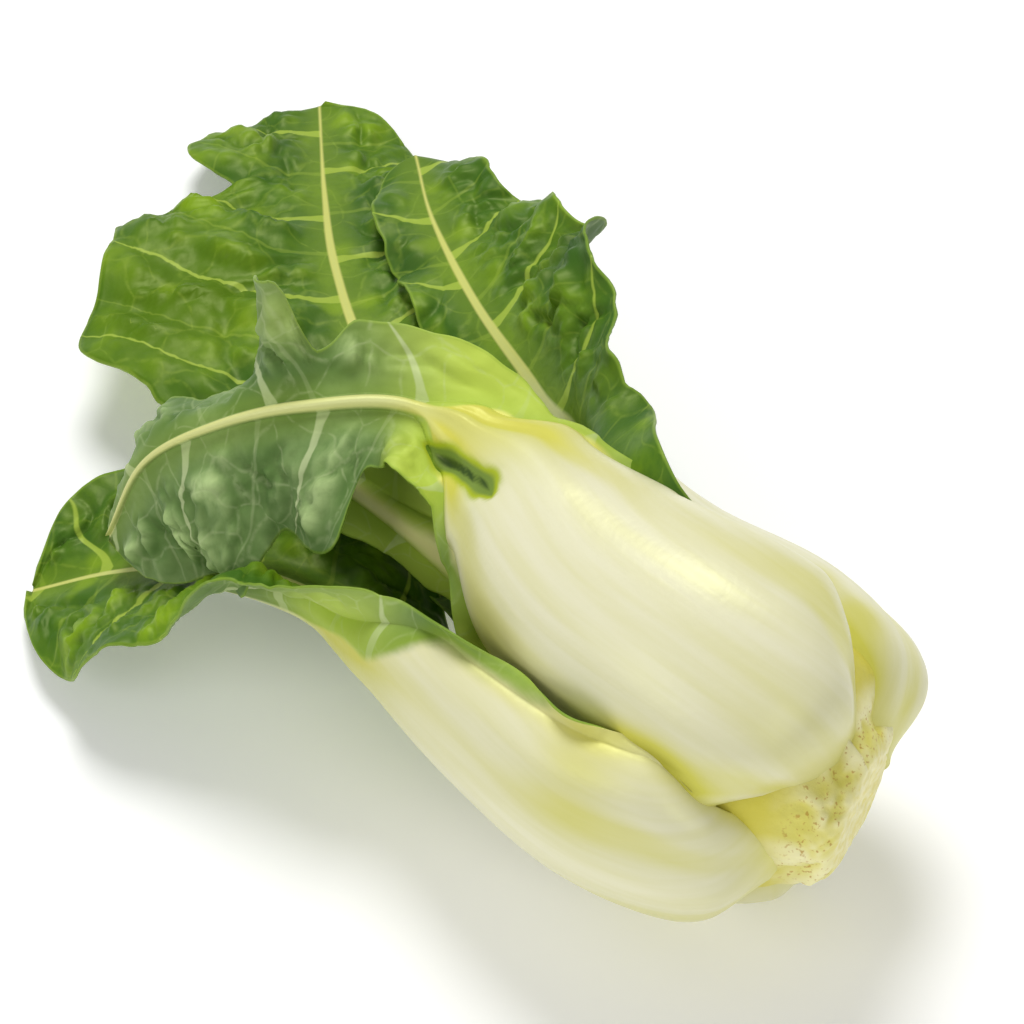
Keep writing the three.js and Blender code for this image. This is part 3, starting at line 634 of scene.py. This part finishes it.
def build_leaf(leaf):
    """The finished piece of one leaf."""
    g = leaf.grid()
    vein, near = side_veins(leaf, g)
    swell, rib = relief(leaf, g, vein, near)
    side = np.clip(g["d"] / g["stalk"], 0, 1)
    thick, hollow = stalk_body(leaf, g, side)
    top, bottom = sheet_heights(leaf, g, side, thick)
    slit = slit_depth(leaf, g)
    normal = sheet_normals(g)
    upper = g["place"] + normal * (top + swell - VEIN_SUNK * rib)[..., None]
    lower = g["place"] + normal * (bottom + swell - VEIN_RAISED * rib + SLIT_DEPTH * slit)[..., None]
    points, faces, used = closed_sheet(upper, lower, kept_cells(leaf, g))
    points[:, 2] = np.maximum(points[:, 2], LOWEST)

    def both(value, other=None):
        """A value for the points of the upper side, and the same or another one for the lower side."""
        return np.concatenate([value.ravel(), (value if other is None else other).ravel()])[used]

    across, s, zero = g["d"] * g["sign"], g["s"], 0 * g["d"]
    pale = ease(leaf.pale_half, s)
    # The listed tints: painted light above zero, painted shade below zero, yellow crevice shade on a
    # stalk.
    tint = sum(value * np.exp(-((across - x) ** 2 + (s - y) ** 2) / reach**2)
               for x, y, reach, value in leaf.tints)
    values = dict(
        place=np.stack([both(across), both(s), both(zero)], axis=1),
        along=both(s),
        under=both(zero, zero + 1),
        skirt=both(g["d"] - 0.7 * pale, g["d"] - pale),
        edge=both(g["d"] - g["stalk"]),
        rim=both(g["wing"] - g["d"]),
        out=both(g["out"]),
        vein=both(vein),
        near=both(near * smooth(leaf.blade_start + 4, leaf.blade_start + 18, s)),
        swell=both(swell / leaf.pucker),
        tint=both(tint),
        slit=both(slit),
        hollow=both(hollow),
        seam=seam_distance(leaf, points),
    )
    piece = mesh_object(leaf.name + "_leaf", points, faces.tolist(), values)
    print(piece.name, len(faces) * 2, "triangles,", round(leaf.length), "mm long")
    return piece


FINE = dict(rows=260, stalk_columns=14, wing_columns=34)
YOUNG = dict(rows=150, stalk_columns=8, wing_columns=14)
outer = [Leaf(spec, **FINE) for spec in OUTER_LEAVES]
young = [Leaf(spec, **YOUNG) for spec in INNER_LEAVES + HEART_LEAVES]
leaf_pieces = {leaf.name: build_leaf(leaf) for leaf in outer + young}

# %% [markdown]
# ## The cut base
#
# The stub of the stem is what is left where the head was cut from its root. It has a pale cut face
# and a knobbly rim of old leaf scars. A lathe shape gives the round form, and noise around the rim
# pushes out the knobs.

# %% Build the base
STUB_RADIUS = 9
STUB_PROFILE = [(0, 64.4), (3, 64.5), (5.8, 64.8), (7.9, 64.6), (9.3, 63.8), (10.2, 62.5),
                (11.2, 61.2), (12.8, 59.8), (14.6, 58.4), (16.1, 56.6), (16.8, 54.4), (15.6, 51.4),
                (11, 48.5), (5, 46), (0.5, 45)]  # distance from the axis, place along it
CUT_SLANT_Y, CUT_SLANT_Z = 0.35, -0.12
STUB_SIDES = 160
STUB_RINGS = 110
FIVE_LOBES = 0.05
KNOB_OUT, KNOB_ALONG, FIBRE_HEIGHT = 0.55, 0.3, 0.16


def build_base():
    """The finished piece of the base."""
    steps = np.linspace(0, 1, STUB_RINGS)
    profile = curve_through([(r, x, 0) for r, x in STUB_PROFILE], steps)
    angle = np.linspace(0, 2 * np.pi, STUB_SIDES, endpoint=False)
    r, x = profile[:, None, 0] + 0 * angle, profile[:, None, 1] + 0 * angle
    wrap = angle / (2 * np.pi) * NOISE_SIZE / 4
    knob = noise(wrap + 0 * r, x / 3, 81) + 0.5 * noise(2 * wrap + 0 * r, x / 1.6, 82)
    knob = knob + 0.35 * noise(4 * wrap + 0 * r, x / 0.8, 84)
    rim = smooth(6.8, 8.6, r) * smooth(58.8, 61, x)
    fibre = noise(r * 1.2 * np.cos(angle), r * 1.2 * np.sin(angle), 83) * (1 - smooth(7, 8, r))
    lobes = FIVE_LOBES * np.sin(5 * angle + 0.7) * np.clip(r / STUB_RADIUS, 0, 1)
    r = r * (1 + lobes) + KNOB_OUT * knob * rim
    x = x + KNOB_ALONG * knob * rim + FIBRE_HEIGHT * fibre * smooth(63, 64, x)
    x = x - smooth(57, 63, x) * r * (CUT_SLANT_Y * np.sin(angle) + CUT_SLANT_Z * np.cos(angle))
    points = np.stack([x, AXIS_Y + r * np.sin(angle), AXIS_Z + r * np.cos(angle)], -1)
    centres = points[[0, -1]].mean(1)
    index = np.arange(points.shape[0] * STUB_SIDES).reshape(-1, STUB_SIDES)
    turned = np.roll(index, -1, axis=1)
    quads = np.stack([index[:-1], index[1:], turned[1:], turned[:-1]], -1).reshape(-1, 4)
    first, last = index.size, index.size + 1
    faces = quads[:, ::-1].tolist()
    faces += [[first, b, a] for a, b in zip(index[0], turned[0])]
    faces += [[last, a, b] for a, b in zip(index[-1], turned[-1])]
    points = np.concatenate([points.reshape(-1, 3), centres])
    radius, knob = (np.append(value.ravel(), [0, 0]) for value in (r, knob))
    piece = mesh_object("base_stub", points, faces, dict(radius=radius, knob=knob, place=points))
    print(piece.name, len(faces), "faces")
    return piece


base_piece = build_base()

# %% [markdown]
# ## A short way to write materials
#
# A material is a net of nodes. Written out one by one, its sums are hard to read. The class below
# wraps a socket, so that `1 - mask * 0.5` adds the Math nodes by itself, and `node` makes any other
# node from its type, its settings and its inputs.

# %% Sockets as values
class Value:
    """A socket of a node, with sums and other nodes that start from it."""

    def __init__(self, tree, socket):
        self.tree, self.socket = tree, socket

    def node(self, kind, settings=None, inputs=None, output=0):
        """Any node: its type, its settings, then the values or links of its sockets."""
        made = self.tree.nodes.new(kind)
        for key, setting in (settings or {}).items():
            setattr(made, key, setting)
        for key, given in (inputs or {}).items():
            if isinstance(given, Value):
                self.tree.links.new(given.socket, made.inputs[key])
            else:
                made.inputs[key].default_value = given
        return Value(self.tree, made.outputs[output])

    def math(self, operation, *others):
        return self.node("ShaderNodeMath", dict(operation=operation), dict(enumerate((self, *others))))

    def vector(self, operation, *others):
        inputs = dict(enumerate((self, *others)))
        return self.node("ShaderNodeVectorMath", dict(operation=operation), inputs)

    def __add__(self, other):
        return self.math("ADD", other)

    def __sub__(self, other):
        return self.math("SUBTRACT", other)

    def __rsub__(self, other):
        return self.node("ShaderNodeMath", dict(operation="SUBTRACT"), {0: other, 1: self})

    def __mul__(self, other):
        return self.math("MULTIPLY", other)

    __radd__ = __add__
    __rmul__ = __mul__

    def step(self, low, high):
        """0 below low and 1 above high, with a smooth step between. low may be the larger one."""
        inputs = {"Value": self, "From Min": low, "From Max": high}
        return self.node("ShaderNodeMapRange", dict(interpolation_type="SMOOTHSTEP"), inputs)

    def mix(self, first, second):
        """The first colour where this mask is 0, and the second one where it is 1."""
        inputs = {0: self, 6: first, 7: second}
        return self.node("ShaderNodeMix", dict(data_type="RGBA"), inputs, output=2)

    def noise(self, scale, detail=2.0, output=0):
        inputs = {"Vector": self, "Scale": scale, "Detail": detail}
        return self.node("ShaderNodeTexNoise", None, inputs, output)

    def warped(self, scale, reach):
        """The same places, pushed around by three noises at once."""
        push = self.noise(scale, 1.0, output=1).vector("SUBTRACT", (0.5, 0.5, 0.5))
        return push.vector("MULTIPLY_ADD", (reach, reach, 0), self)

    def stretched(self, x, y, z):
        return self.vector("MULTIPLY", (x, y, z))


def new_material(name):
    """A new material, its node tree, its shader and a function that reads a mesh attribute."""
    material = bpy.data.materials.new(name)
    material.use_nodes = True
    tree = material.node_tree
    shader = next(n for n in tree.nodes if n.type == "BSDF_PRINCIPLED")
    start = Value(tree, None)

    def read(attribute, output=2):
        return start.node("ShaderNodeAttribute", dict(attribute_name=attribute), None, output)

    return material, tree, shader, read


def colour(red, green, blue):
    """A colour as a screen shows it, from 0 to 255, turned into Blender's linear light."""
    def linear(c):
        c = c / 255
        return c / 12.92 if c <= 0.04045 else ((c + 0.055) / 1.055) ** 2.4

    return (linear(red), linear(green), linear(blue), 1)


print("white in linear light:", colour(255, 255, 255)[0])

# %% [markdown]
# ## The leaf finish
#
# One material dresses a whole leaf. The stalk is creamy white with yellower streaks along it, and
# it is yellow at the root and along its edges, where the yellow is partly painted shade of the gap
# to the next stalk. Beside the seams and in its flutes it is darkened by a yellow and olive painted
# shade. The upper side of the blade is deep green and glossy, with brighter patches at random,
# patches of painted light where thin tissue would let light through, and painted shade in the
# grooves between blisters. Its underside is paler and greyer, with a painted sheen on the tops of
# its blisters and painted shade in its creases. The tints listed for each leaf add soft patches of
# painted light and painted shade. A net of fine veins lies between the side veins. The masks come
# from the distances that the mesh carries, so borders and veins stay sharp.

# %% Leaf material
LIGHT_UPPER, LIGHT_UNDER = colour(84, 120, 0), colour(190, 212, 84)
LIT_THROUGH, SHADED, MARGIN = colour(146, 180, 16), colour(34, 72, 36), colour(150, 182, 60)
VEIN_UPPER, VEIN_UNDER = colour(166, 190, 70), colour(206, 218, 166)
MIDRIB_UPPER, MIDRIB_UNDER = colour(196, 206, 104), colour(218, 226, 164)
CREAM, CREAM_STREAK, YELLOW_CREAM = colour(236, 233, 200), colour(229, 226, 180), colour(216, 212, 92)
SEAM_SHADE, BORDER = colour(168, 164, 48), colour(150, 178, 44)
SLIT_RIM, SLIT_WALL, SLIT_SHADE = colour(172, 188, 40), colour(98, 128, 64), colour(40, 66, 30)
BUMP_HEIGHT = 0.0006


def leaf_material(name, deep, bright, under_deep, under_pale_sheen):
    """The finish of a leaf, from the dark and light greens of its upper side and its underside."""
    material, tree, shader, read = new_material(name)
    place = read("place", 1)
    under, skirt, edge, rim, out, along = map(read, ("under", "skirt", "edge", "rim", "out", "along"))
    vein, near, swell, tint = map(read, ("vein", "near", "swell", "tint"))
    slit, hollow, seam = map(read, ("slit", "hollow", "seam"))

    patch = place.noise(0.09, 2.0).step(0.35, 0.68)
    fleck = place.noise(0.9, 3.0)
    upper = patch.mix(deep, bright)
    # Painted shade: darker green in the grooves between blisters; the flecks are the leaf's own tone.
    upper = (fleck.step(0.35, 0.75) * 0.2 + swell.step(0.9, 0.0) * 0.6).mix(upper, deep)
    # Painted light from the listed tints on the upper side.
    upper = tint.step(0.05, 1.1).mix(upper, LIGHT_UPPER)
    # Painted light: random patches where light would shine through thin tissue.
    upper = (place.noise(0.14, 1.0).step(0.58, 0.76) * 0.45).mix(upper, LIT_THROUGH)
    # Painted sheen on the tops of the underside's blisters and painted shade in its creases, with some
    # random tone.
    below = (patch * 0.25 + swell.step(0.1, 1.3) * 0.75).mix(under_deep, under_pale_sheen)
    below = (fleck.step(0.4, 0.7) * 0.25).mix(below, under_deep)
    # Painted light from the listed tints on the underside.
    below = tint.step(0.05, 0.85).mix(below, LIGHT_UNDER)
    blade = under.mix(upper, below)
    # Painted shade from the listed tints.
    blade = (tint.step(-0.1, -0.9) * 0.7).mix(blade, SHADED)

    pale_vein = under.mix(VEIN_UPPER, VEIN_UNDER)
    cells = {"Vector": place.warped(0.16, 5), "Scale": 0.17}
    net = place.node("ShaderNodeTexVoronoi", dict(feature="DISTANCE_TO_EDGE"), cells)
    blade = (net.step(0.05, 0.0) * fleck.step(0.3, 0.6) * 0.2).mix(blade, pale_vein)
    flare = edge.step(1.8, 0.0) * near * 0.2
    line = (vein.math("ABSOLUTE") - (1 - out) * (0.16 + 0.32 * near) - flare - 0.05).step(0.16, -0.08)
    line = line * near.step(0.1, 0.5) * (0.45 + 0.4 * near) * (1 - under * 0.3)
    blade = line.mix(blade, pale_vein)
    blade = (rim.step(0.5, 0.1) * 0.45).mix(blade, MARGIN)

    streak = place.stretched(0.55, 0.035, 1).noise(1.0, 3.0)
    cream = streak.step(0.3, 0.75).mix(CREAM, CREAM_STREAK)
    cream = (along.step(50, 85) * 0.8).mix(cream, under.mix(MIDRIB_UPPER, MIDRIB_UNDER))
    # Yellow: the root's own colour; at the edges partly painted shade of the gap to the next stalk;
    # beside the seams, in the flutes and at the tints it is painted shade.
    yellow_and_shade = along.step(10, 1.0) * 0.75 + (edge.step(-1.6, 0) + edge.step(-6, 0) * 0.35) * 0.35
    yellow_and_shade = yellow_and_shade + seam.step(4.5, 0.5) * 0.8 + hollow.step(0.02, 0.5) * 0.5 + tint.step(0.1, 1.0) * 0.8
    cream = yellow_and_shade.math("MINIMUM", 1.0).mix(cream, YELLOW_CREAM)
    # Painted shade: darker olive right beside a seam.
    cream = (seam.step(2.2, 0.4) * 0.7).mix(cream, SEAM_SHADE)
    wobble = (place.stretched(0.5, 0.12, 1).noise(1.0, 3.0) - 0.5) * 2.0
    soft = along.step(40, 80)
    white = (skirt + wobble * (1 - soft)).step(1.3 - 1.15 * soft, -1.3 + 1.05 * soft)
    border = (skirt + wobble).step(4.5, 0.0) * (1 - white) * (0.7 - 0.45 * soft)
    base = white.mix(border.mix(blade, BORDER), cream)
    base = (slit.step(0.02, 0.35) * under).mix(base, SLIT_RIM)
    base = (slit.step(0.3, 0.65) * under * 0.8).mix(base, SLIT_WALL)
    # Painted shade along the deepest middle of the slit.
    base = (slit.step(0.75, 0.98) * under * 0.9).mix(base, SLIT_SHADE)

    dull = 0.46 + under * 0.08
    rough = (1 - white) * dull + white * 0.32 + fleck.step(0.3, 0.8) * 0.06
    height = fleck * 0.25 + streak * white * 0.4
    bump = {"Strength": 0.3, "Distance": BUMP_HEIGHT, "Height": height}
    bump = height.node("ShaderNodeBump", None, bump)
    tree.links.new(base.socket, shader.inputs["Base Color"])
    tree.links.new(rough.socket, shader.inputs["Roughness"])
    tree.links.new(bump.socket, shader.inputs["Normal"])
    shader.inputs["Specular IOR Level"].default_value = 0.45
    # A white gloss would turn the greens grey.
    shader.inputs["Specular Tint"].default_value = (0.95, 1.0, 0.45, 1)
    return material


outer_finish = leaf_material("bok_choy_leaf", colour(56, 100, 20), colour(132, 168, 22),
                             colour(84, 118, 58), colour(180, 204, 138))
inner_finish = leaf_material("young_leaf", colour(70, 120, 24), colour(136, 172, 40),
                             colour(110, 146, 60), colour(160, 186, 96))
for name, piece in leaf_pieces.items():
    piece.data.materials.append(inner_finish if "heart" in name or "inner" in name else outer_finish)
print("leaf materials:", outer_finish.name, inner_finish.name)

# %% [markdown]
# ## The base finish
#
# The cut face is pale and slightly dry, and the rim is yellow with brown specks. The rim is lighter
# on its knobs and darker yellow in its hollows, where the darker yellow is painted shade.

# %% Base material
CUT_FACE, CUT_FACE_GRAIN = colour(246, 240, 190), colour(236, 226, 140)
RIM_HOLLOW_SHADE, RIM_KNOB = colour(226, 218, 108), colour(248, 242, 184)
SPECK, LOWER_STUB = colour(190, 146, 44), colour(216, 206, 76)


def base_material():
    """The finish of the base."""
    material, tree, shader, read = new_material("cut_stem")
    place = read("place", 1)
    radius, knob = read("radius"), read("knob")
    grain = place.noise(0.8, 5.0)
    face = grain.step(0.3, 0.7).mix(CUT_FACE, CUT_FACE_GRAIN)
    # Painted shade: darker yellow in the hollows between the rim's knobs.
    rim = knob.step(-0.7, 0.5).mix(RIM_HOLLOW_SHADE, RIM_KNOB)
    base = radius.step(6.8, 8.8).mix(face, rim)
    speck = place.noise(1.6, 2.0).step(0.58, 0.7) * radius.step(7.7, 9) * radius.step(13.2, 11.4)
    base = (speck * 0.75).mix(base, SPECK)
    base = radius.step(11.5, 15).mix(base, LOWER_STUB)
    bump = {"Strength": 0.4, "Distance": BUMP_HEIGHT, "Height": grain}
    bump = grain.node("ShaderNodeBump", None, bump)
    tree.links.new(base.socket, shader.inputs["Base Color"])
    tree.links.new((grain * 0.2 + 0.45).socket, shader.inputs["Roughness"])
    tree.links.new(bump.socket, shader.inputs["Normal"])
    shader.inputs["Subsurface Weight"].default_value = 0.15
    shader.inputs["Subsurface Radius"].default_value = (1.0, 0.9, 0.5)
    shader.inputs["Subsurface Scale"].default_value = 0.002
    return material


base_piece.data.materials.append(base_material())
print("base material:", base_piece.data.materials[0].name)

# %% [markdown]
# ## Which piece stands for which solid
#
# Each dressed leaf stands for two solids of the frame: its stalk and its blade.

# %% Tie the pieces to the frame
for name, piece in leaf_pieces.items():
    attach(piece, "root")
    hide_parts(name + "_stalk", name + "_blade")
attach(base_piece, "root")
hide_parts("base")
print("pieces tied to the frame:", len(leaf_pieces) + 1)

# %% [markdown]
# ## Floor, light and camera
#
# The head lies on a plain white ground, which glows a little so that it stays white in the picture.
# Three round lamps give soft light: the key light from above and behind, a fill from the front and
# one from the base's side. Soft shadows fall towards the camera, and the world lightens them.

# %% Floor and light
FLOOR_SIZE = 3.0
FLOOR_GLOW = 0.13
HEAD_MIDDLE = Vector((0, 0, 0.02))
LAMPS = [
    ("key_light", (-0.45, 0.35, 0.95), 0.5, 7.9),
    ("fill_light", (-0.25, -0.95, 0.6), 0.6, 2.8),
    ("side_light", (0.95, -0.35, 0.6), 0.6, 2.6),
]  # name, place, size and power
WORLD_LIGHT = 0.3


def plain_floor():
    """The white ground, which isn't part of the head."""
    mesh = bpy.data.meshes.new("floor")
    corners = [(x * FLOOR_SIZE, y * FLOOR_SIZE, 0) for x, y in ((-1, -1), (1, -1), (1, 1), (-1, 1))]
    mesh.from_pydata(corners, [], [(0, 1, 2, 3)])
    floor = bpy.data.objects.new("floor", mesh)
    bpy.context.scene.collection.objects.link(floor)
    material, _, shader, _ = new_material("white_ground")
    shader.inputs["Base Color"].default_value = (0.98, 0.98, 0.98, 1)
    shader.inputs["Roughness"].default_value = 0.7
    shader.inputs["Emission Color"].default_value = (1, 1, 1, 1)
    shader.inputs["Emission Strength"].default_value = FLOOR_GLOW
    mesh.materials.append(material)
    floor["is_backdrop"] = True


def round_lamp(name, place, size, power):
    """A round lamp that points at the head."""
    light = bpy.data.lights.new(name, "AREA")
    light.shape, light.size, light.energy = "DISK", size, power
    lamp = bpy.data.objects.new(name, light)
    lamp.location = place
    aim = HEAD_MIDDLE - Vector(place)
    lamp.rotation_euler = aim.to_track_quat("-Z", "Y").to_euler()
    bpy.context.scene.collection.objects.link(lamp)


plain_floor()
for lamp_name, lamp_place, lamp_size, lamp_power in LAMPS:
    round_lamp(lamp_name, lamp_place, lamp_size, lamp_power)
world = bpy.data.worlds.new("studio")
world.use_nodes = True
world.node_tree.nodes["Background"].inputs["Color"].default_value = (1, 1, 1, 1)
world.node_tree.nodes["Background"].inputs["Strength"].default_value = WORLD_LIGHT
bpy.context.scene.world = world
bpy.context.scene.view_settings.view_transform = "Standard"

# %% [markdown]
# The camera looks along the same line as the photograph's. It is close enough for one head to fill
# the picture, and its long lens keeps the perspective weak.

# %% Camera
VIEW_AZIMUTH, VIEW_ELEVATION = 44, 50
VIEW_DISTANCE = 1.0
VIEW_LENS, SENSOR = 283.4, 36
VIEW_TARGET = Vector((SHIFT[0] * MM, SHIFT[1] * MM, 0.02))


def place_camera():
    """The camera, turned around the head and lifted above it."""
    turn, lift = math.radians(VIEW_AZIMUTH), math.radians(VIEW_ELEVATION)
    back = Vector((math.sin(turn) * math.cos(lift), -math.cos(turn) * math.cos(lift), math.sin(lift)))
    data = bpy.data.cameras.new("camera")
    data.lens, data.sensor_width = VIEW_LENS, SENSOR
    data.clip_start, data.clip_end = 0.05, 20
    camera = bpy.data.objects.new("camera", data)
    rotation = (-back).to_track_quat("-Z", "Y").to_matrix().to_4x4()
    camera.matrix_world = Matrix.Translation(VIEW_TARGET + back * VIEW_DISTANCE) @ rotation
    bpy.context.scene.collection.objects.link(camera)
    bpy.context.scene.camera = camera
    return camera


print("camera at", [round(c, 3) for c in place_camera().matrix_world.translation])

# %% [markdown]
# ## The sizes of the frame and of the dressed head
#
# The dressed head is made to fill the same space as the frame. Both boxes are printed so that they
# can be compared.

# %% Print the two boxes
dressed_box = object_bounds()
sizes = {"frame": [list(map(float, corner)) for corner in frame_box],
         "dressed": [list(map(float, corner)) for corner in dressed_box]}
print("frame box", sizes["frame"])
print("dressed box", sizes["dressed"])
